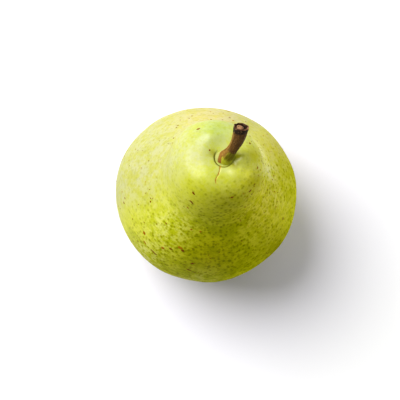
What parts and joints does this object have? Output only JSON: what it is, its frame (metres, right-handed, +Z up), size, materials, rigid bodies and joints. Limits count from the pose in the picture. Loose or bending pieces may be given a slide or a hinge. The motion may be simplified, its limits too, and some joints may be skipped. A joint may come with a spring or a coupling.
{
  "type": "pear",
  "caption": "Whole fresh pear with a leaning neck and a short bent stem, standing level on the flattened ring round its calyx.",
  "frame": {"origin": "middle of the fruit's bounding box, on the surface that it stands on", "axes": "+Z up through the fruit; the neck leans towards +Y and a little towards +X, and the stem points the same way"},
  "size_m": [0.0752, 0.0727, 0.0999],
  "materials": {
    "pear_skin": "waxy yellow-green skin with fine green dots",
    "stem_wood": "dull brown bark",
    "dried_sepal": "dry, dark and brittle"
  },
  "bodies": {
    "root": {"pear_body": "pear_skin", "stem": "stem_wood", "calyx": "dried_sepal"}
  },
  "joints": []
}
